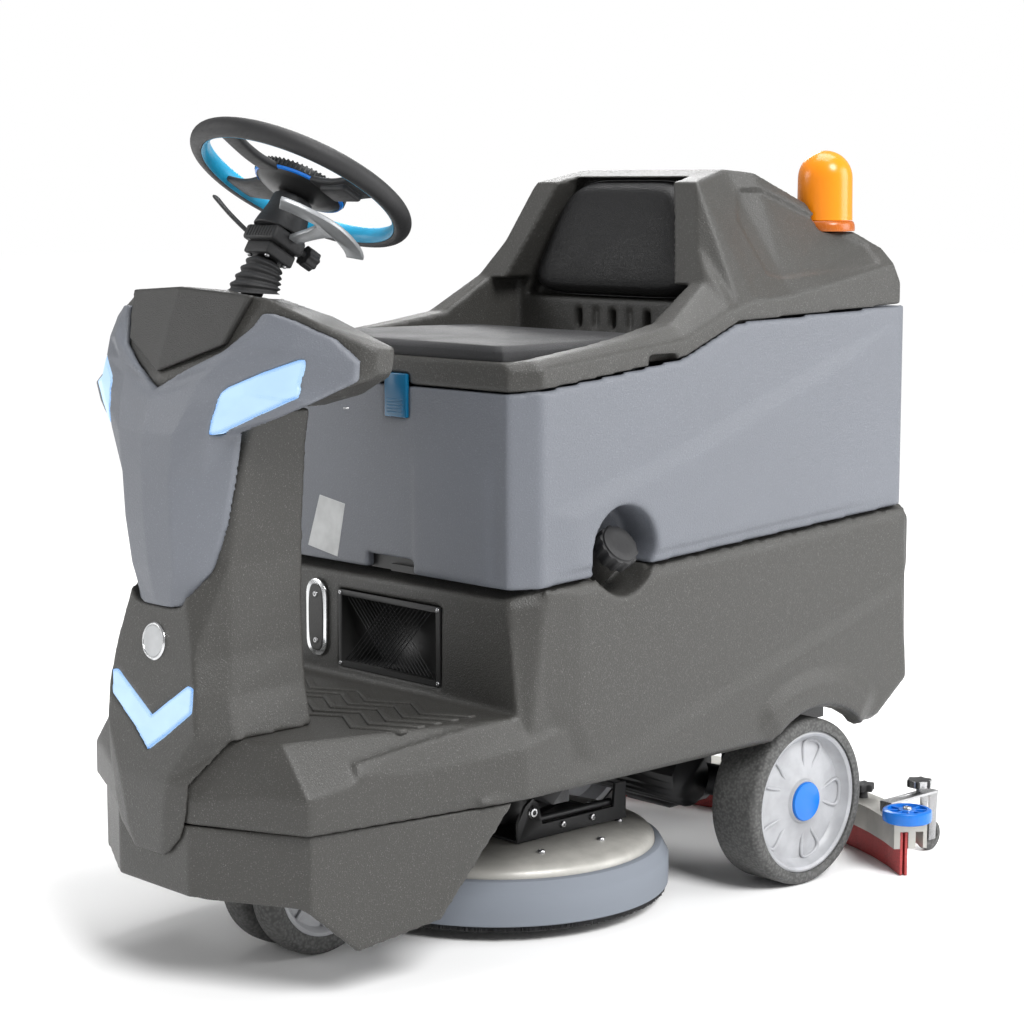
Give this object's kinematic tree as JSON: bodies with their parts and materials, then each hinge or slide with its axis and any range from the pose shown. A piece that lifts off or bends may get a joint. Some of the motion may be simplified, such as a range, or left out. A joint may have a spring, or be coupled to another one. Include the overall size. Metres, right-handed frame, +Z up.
{
  "type": "ride on scrubber",
  "caption": "Compact ride-on floor scrubber: seat over a tip-up recovery tank, raked steering column, disc brush under a dome, curved trailing squeegee and warning beacon.",
  "frame": {"origin": "on the floor, under the middle of the bounding box", "axes": "+Z up; the machine drives towards -Y; +X is the machine's left side"},
  "size_m": [0.768, 1.322, 1.1359],
  "materials": {
    "steel": "satin black",
    "dark_plastic": "stippled",
    "light_lens": "glowing, frosted",
    "tank_plastic": "stippled",
    "black_plastic": "satin",
    "zinc": "zinc plated",
    "rubber": "matt",
    "silver_paint": "satin",
    "teal_plastic": "smooth",
    "tyre": "pebbled tread",
    "rim_plastic": "satin",
    "skirt_rubber": "matt",
    "blue_plastic": "smooth",
    "bristles": "bristle field",
    "aluminium": "extruded",
    "red_rubber": "matt",
    "seat_vinyl": "grained vinyl",
    "amber_lens": "moulded lens"
  },
  "bodies": {
    "chassis": {"frame": "steel", "solution_tank": "dark_plastic", "front_bumper": "dark_plastic", "front_column": "dark_plastic", "chevron_light": "light_lens", "front_shield": "tank_plastic", "headlight_left": "light_lens", "headlight_right": "light_lens", "dash_housing": "dark_plastic", "dash_trim": "dark_plastic", "tilt_bracket": "steel", "battery_pack": "black_plastic", "transaxle": "steel", "filter_basket": "black_plastic", "latch_plate": "zinc", "column_boot": "rubber", "lift_actuator": "zinc", "steering_chain": "steel"},
    "steering_shaft": {"lower_shaft": "steel"},
    "tilting_column": {"column_tube": "steel", "column_clamp": "black_plastic", "column_head": "black_plastic"},
    "tilt_knob": {"tilt_knob": "black_plastic"},
    "throttle_paddle": {"throttle_paddle": "silver_paint"},
    "direction_lever": {"direction_lever": "black_plastic"},
    "steering_wheel": {"steering_rim": "black_plastic", "rim_insert": "teal_plastic", "wheel_hub": "black_plastic"},
    "fork": {"front_fork": "steel"},
    "front_left": {"front_wheel_left": "tyre"},
    "front_right": {"front_wheel_right": "tyre"},
    "rear_left": {"rear_tyre_left": "tyre", "rear_rim_left": "rim_plastic"},
    "rear_right": {"rear_tyre_right": "tyre", "rear_rim_right": "rim_plastic"},
    "brush_deck": {"brush_cover": "silver_paint", "splash_skirt": "skirt_rubber", "brush_bracket": "steel", "brush_motor": "black_plastic"},
    "brush": {"brush_disc": "blue_plastic", "bristle_ring": "bristles"},
    "squeegee": {"squeegee_channel": "aluminium", "front_blade": "red_rubber", "rear_blade": "red_rubber", "squeegee_arm": "steel", "caster_bracket_left": "steel", "caster_bracket_right": "steel"},
    "roller_left": {"roller_left": "blue_plastic"},
    "roller_right": {"roller_right": "blue_plastic"},
    "caster_wheel_left": {"caster_wheel_left": "rubber"},
    "caster_wheel_right": {"caster_wheel_right": "rubber"},
    "tank": {"recovery_tank": "tank_plastic"},
    "strap_latch": {"strap_latch": "teal_plastic"},
    "seat_cover": {"seat_housing": "dark_plastic", "seat_pad": "seat_vinyl", "backrest": "seat_vinyl", "beacon_base": "amber_lens", "beacon_lens": "amber_lens", "vacuum_motor": "black_plastic"},
    "filler_cap": {"filler_cap": "black_plastic"}
  },
  "joints": [
    {"name": "column_tilt", "type": "hinge", "parent": "chassis", "child": "tilting_column", "pos_m": [0, -0.50584, 0.84725], "axis": [1, 0, 0], "range_deg": [-8, 8], "deforming": ["column_boot"]},
    {"name": "steering_turn", "type": "hinge", "parent": "tilting_column", "child": "steering_wheel", "pos_m": [0, -0.38793, 1.04902], "axis": [0, 0.5045, 0.8634], "range_deg": [-180, 180]},
    {"name": "lower_shaft_turn", "type": "hinge", "parent": "chassis", "child": "steering_shaft", "pos_m": [0, -0.50584, 0.255], "axis": [0, 0, 1], "range_deg": [-180, 180]},
    {"name": "fork_yaw", "type": "hinge", "parent": "chassis", "child": "fork", "pos_m": [0, -0.399, 0.255], "axis": [0, 0, 1], "range_deg": [-60, 60]},
    {"name": "front_spin_left", "type": "hinge", "parent": "fork", "child": "front_left", "pos_m": [0.034, -0.399, 0.105], "axis": [1, 0, 0], "continuous": true},
    {"name": "front_spin_right", "type": "hinge", "parent": "fork", "child": "front_right", "pos_m": [-0.034, -0.399, 0.105], "axis": [1, 0, 0], "continuous": true},
    {"name": "rear_spin_left", "type": "hinge", "parent": "chassis", "child": "rear_left", "pos_m": [0.2415, 0.345, 0.127], "axis": [1, 0, 0], "continuous": true},
    {"name": "rear_spin_right", "type": "hinge", "parent": "chassis", "child": "rear_right", "pos_m": [-0.2415, 0.345, 0.127], "axis": [1, 0, 0], "continuous": true},
    {"name": "tilt_knob_turn", "type": "hinge", "parent": "tilting_column", "child": "tilt_knob", "pos_m": [0.02, -0.39322, 0.95077], "axis": [0, 0.8634, -0.5045], "continuous": true},
    {"name": "paddle_pull", "type": "hinge", "parent": "tilting_column", "child": "throttle_paddle", "pos_m": [0.0365, -0.43011, 0.97684], "axis": [0, -0.8634, 0.5045], "range_deg": [0, 12], "stiffness_Nm_per_rad": 2, "springref_deg": -5.73},
    {"name": "lever_throw", "type": "hinge", "parent": "tilting_column", "child": "direction_lever", "pos_m": [-0.0346, -0.43218, 0.9733], "axis": [0, 0.5045, 0.8634], "range_deg": [-8, 8]},
    {"name": "brush_lift", "type": "slide", "parent": "chassis", "child": "brush_deck", "axis": [0, 0, 1], "range_m": [-0.0145, 0.03]},
    {"name": "brush_spin", "type": "hinge", "parent": "brush_deck", "child": "brush", "pos_m": [0, -0.027, 0.015], "axis": [0, 0, 1], "continuous": true},
    {"name": "squeegee_lift", "type": "hinge", "parent": "chassis", "child": "squeegee", "pos_m": [0, 0.455, 0.18], "axis": [1, 0, 0], "range_deg": [0, 12]},
    {"name": "roller_turn_left", "type": "hinge", "parent": "squeegee", "child": "roller_left", "pos_m": [0.346, 0.50565, 0.09], "axis": [0, 0, 1], "continuous": true},
    {"name": "caster_roll_left", "type": "hinge", "parent": "squeegee", "child": "caster_wheel_left", "pos_m": [0.288, 0.637, 0.024], "axis": [1, 0, 0], "continuous": true},
    {"name": "roller_turn_right", "type": "hinge", "parent": "squeegee", "child": "roller_right", "pos_m": [-0.346, 0.50565, 0.09], "axis": [0, 0, 1], "continuous": true},
    {"name": "caster_roll_right", "type": "hinge", "parent": "squeegee", "child": "caster_wheel_right", "pos_m": [-0.288, 0.637, 0.024], "axis": [1, 0, 0], "continuous": true},
    {"name": "tank_tilt", "type": "hinge", "parent": "chassis", "child": "tank", "pos_m": [0, 0.56, 0.56], "axis": [-1, 0, 0], "range_deg": [0, 60]},
    {"name": "strap_open", "type": "hinge", "parent": "tank", "child": "strap_latch", "pos_m": [0.032, -0.2499, 0.73], "axis": [1, 0, 0], "range_deg": [0, 90]},
    {"name": "cover_open", "type": "hinge", "parent": "tank", "child": "seat_cover", "pos_m": [0, 0.557, 0.867], "axis": [-1, 0, 0], "range_deg": [0, 50]},
    {"name": "cap_turn", "type": "hinge", "parent": "chassis", "child": "filler_cap", "pos_m": [0.255, -0.058, 0.542], "axis": [0.788, 0, 0.6157], "continuous": true}
  ],
  "couplings": [
    {"joint": "lower_shaft_turn", "follows": "steering_turn", "ratio": 1},
    {"joint": "fork_yaw", "follows": "steering_turn", "ratio": 0.33333}
  ]
}
